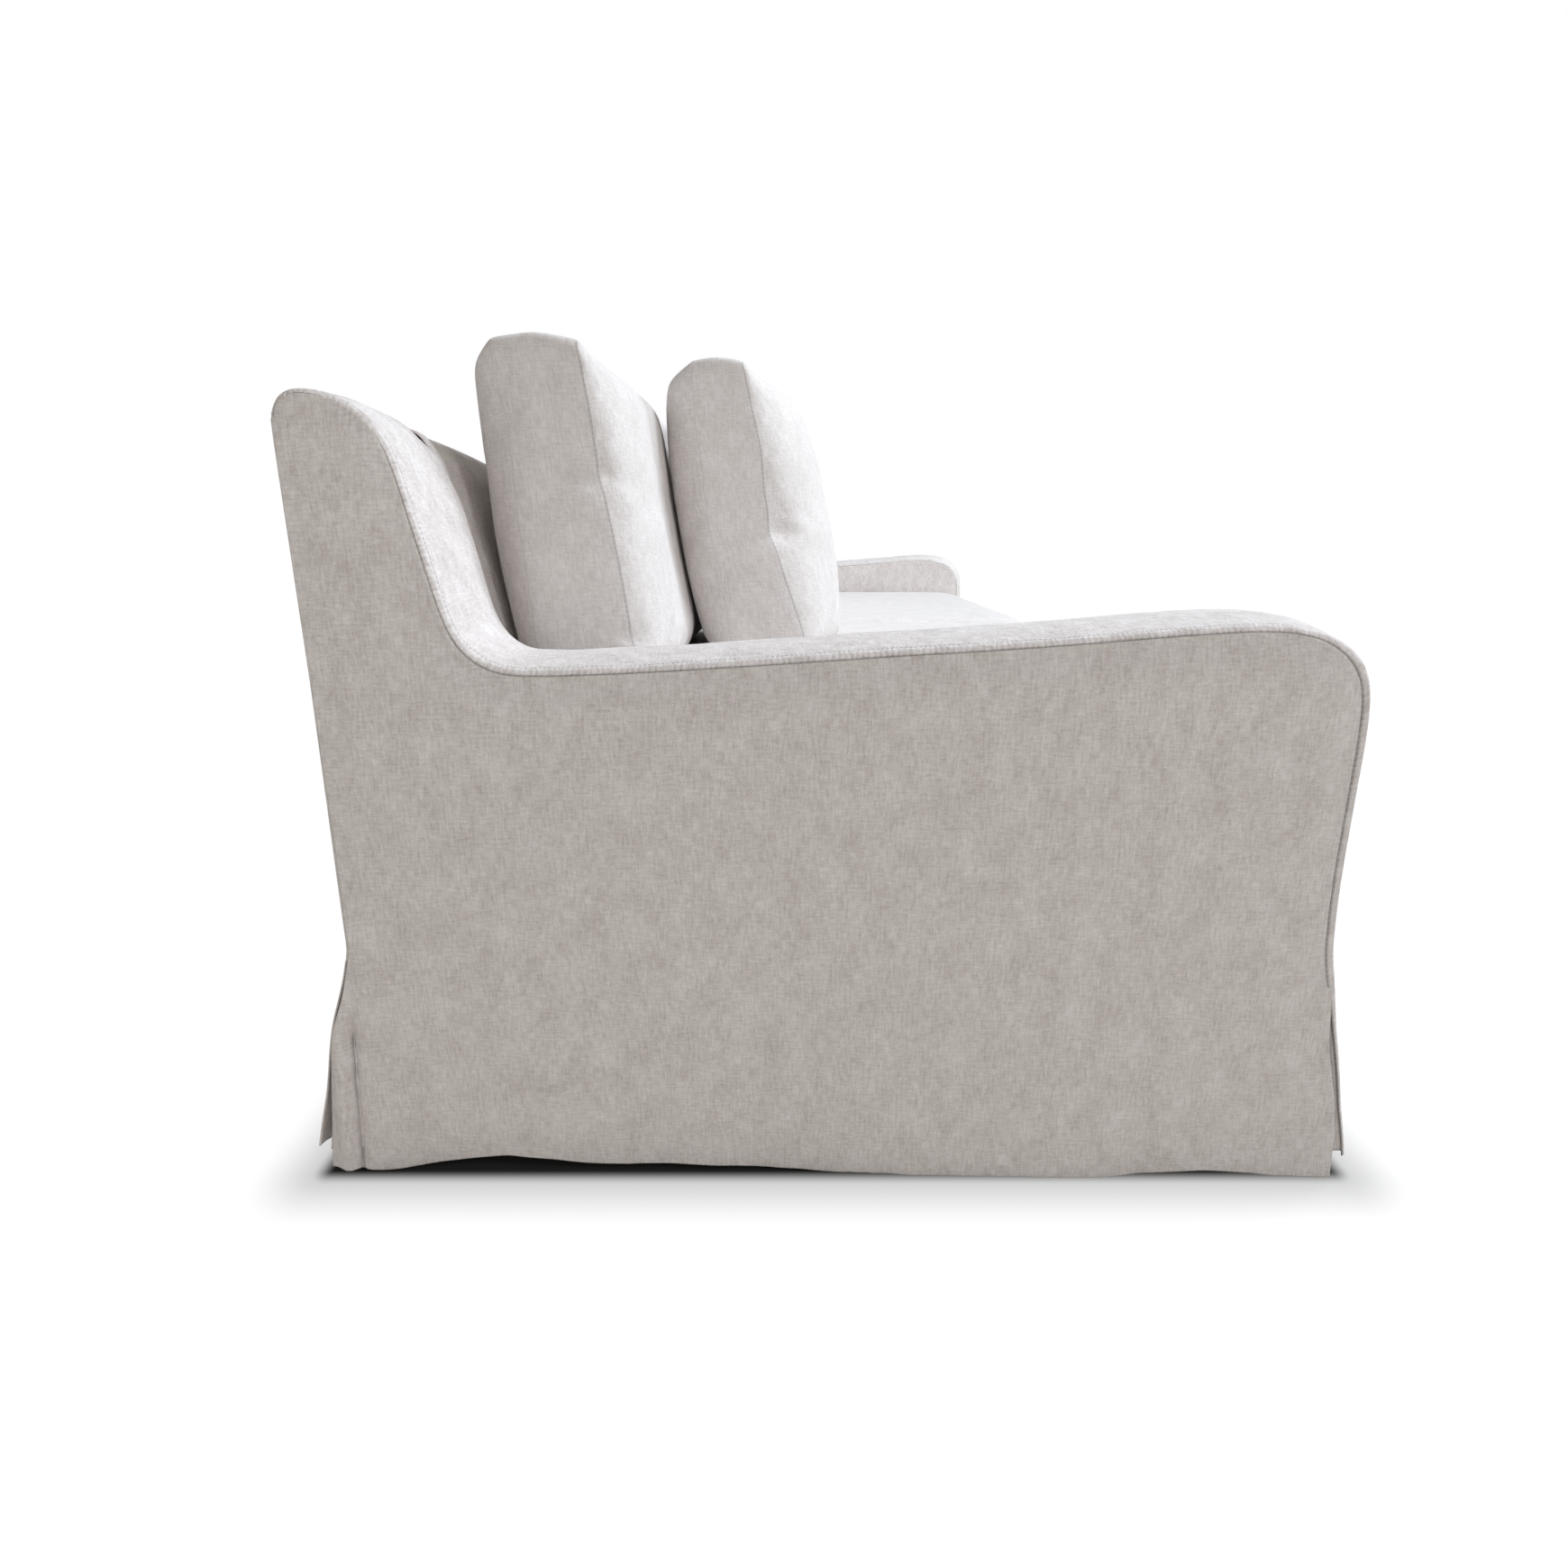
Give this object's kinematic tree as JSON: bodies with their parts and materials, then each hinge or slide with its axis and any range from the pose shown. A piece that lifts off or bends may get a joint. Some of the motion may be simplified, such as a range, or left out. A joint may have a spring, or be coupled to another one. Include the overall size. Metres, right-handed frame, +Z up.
{
  "type": "camelback sofa",
  "caption": "Camelback sofa in a loose linen slipcover, with low sloping arms that run up into a raked wing, kick pleats, loose seat cushions and layered back pillows.",
  "frame": {"origin": "on the floor, under the middle of the sofa", "axes": "+X along the sofa, +Y to the back, -Y the front, +Z up"},
  "size_m": [2.29, 1.13, 0.9045],
  "materials": {
    "slipcover_linen": "matt washed linen, natural off-white, plain weave with slubs",
    "cushion_linen": "matt washed linen, natural off-white, plain weave with slubs",
    "frame_wood": "planed hardwood, unfinished",
    "leg_wood": "dark stained, satin",
    "spring_steel": "bare spring wire",
    "webbing": "woven jute",
    "padding": "needled batting over foam"
  },
  "bodies": {
    "frame": {"front_rail": "frame_wood", "rear_rail": "frame_wood", "centre_rail": "frame_wood", "side_rail_left": "frame_wood", "side_rail_right": "frame_wood", "front_post_left": "frame_wood", "front_post_right": "frame_wood", "rear_post_left": "frame_wood", "rear_post_right": "frame_wood", "arm_top_rail_left": "frame_wood", "arm_top_rail_right": "frame_wood", "corner_block_front_left": "frame_wood", "corner_block_front_right": "frame_wood", "corner_block_rear_left": "frame_wood", "corner_block_rear_right": "frame_wood", "back_bottom_rail": "frame_wood", "back_top_rail": "frame_wood", "back_centre_post": "frame_wood", "leg_front_left": "leg_wood", "leg_front_centre": "leg_wood", "leg_front_right": "leg_wood", "leg_rear_left": "leg_wood", "leg_rear_centre": "leg_wood", "leg_rear_right": "leg_wood", "seat_spring_1": "spring_steel", "seat_spring_2": "spring_steel", "seat_spring_3": "spring_steel", "seat_spring_4": "spring_steel", "seat_spring_5": "spring_steel", "seat_spring_6": "spring_steel", "back_webbing_1": "webbing", "back_webbing_2": "webbing", "back_webbing_3": "webbing", "seat_deck_pad": "padding", "back_pad": "padding", "arm_pad_left": "padding", "arm_pad_right": "padding", "cover_deck": "slipcover_linen", "cover_front": "slipcover_linen", "cover_inside_back": "slipcover_linen", "cover_outside_back": "slipcover_linen", "cover_side_left": "slipcover_linen", "cover_arm_band_left": "slipcover_linen", "cover_inner_arm_left": "slipcover_linen", "kick_pleat_front_left": "slipcover_linen", "kick_pleat_rear_left": "slipcover_linen", "cover_side_right": "slipcover_linen", "cover_arm_band_right": "slipcover_linen", "cover_inner_arm_right": "slipcover_linen", "kick_pleat_front_right": "slipcover_linen", "kick_pleat_rear_right": "slipcover_linen"},
    "seat_cushion_left": {"seat_cushion_left": "cushion_linen"},
    "back_pillow_outer_left": {"back_pillow_outer_left": "cushion_linen"},
    "back_pillow_inner_left": {"back_pillow_inner_left": "cushion_linen"},
    "front_pillow_left": {"front_pillow_left": "cushion_linen"},
    "seat_cushion_right": {"seat_cushion_right": "cushion_linen"},
    "back_pillow_outer_right": {"back_pillow_outer_right": "cushion_linen"},
    "back_pillow_inner_right": {"back_pillow_inner_right": "cushion_linen"},
    "front_pillow_right": {"front_pillow_right": "cushion_linen"}
  },
  "joints": [
    {"name": "seat_cushion_left_lift", "type": "slide", "parent": "frame", "child": "seat_cushion_left", "axis": [0, 0, 1], "range_m": [0, 0.2]},
    {"name": "back_pillow_outer_left_lift", "type": "slide", "parent": "seat_cushion_left", "child": "back_pillow_outer_left", "axis": [0, 0.249, 0.9685], "range_m": [0, 0.35]},
    {"name": "back_pillow_inner_left_lift", "type": "slide", "parent": "seat_cushion_left", "child": "back_pillow_inner_left", "axis": [0, 0.249, 0.9685], "range_m": [0, 0.35]},
    {"name": "front_pillow_left_lift", "type": "slide", "parent": "seat_cushion_left", "child": "front_pillow_left", "axis": [0, 0, 1], "range_m": [0, 0.35]},
    {"name": "seat_cushion_right_lift", "type": "slide", "parent": "frame", "child": "seat_cushion_right", "axis": [0, 0, 1], "range_m": [0, 0.2]},
    {"name": "back_pillow_outer_right_lift", "type": "slide", "parent": "seat_cushion_right", "child": "back_pillow_outer_right", "axis": [0, 0.249, 0.9685], "range_m": [0, 0.35]},
    {"name": "back_pillow_inner_right_lift", "type": "slide", "parent": "seat_cushion_right", "child": "back_pillow_inner_right", "axis": [0, 0.249, 0.9685], "range_m": [0, 0.35]},
    {"name": "front_pillow_right_lift", "type": "slide", "parent": "seat_cushion_right", "child": "front_pillow_right", "axis": [0, 0, 1], "range_m": [0, 0.35]}
  ]
}
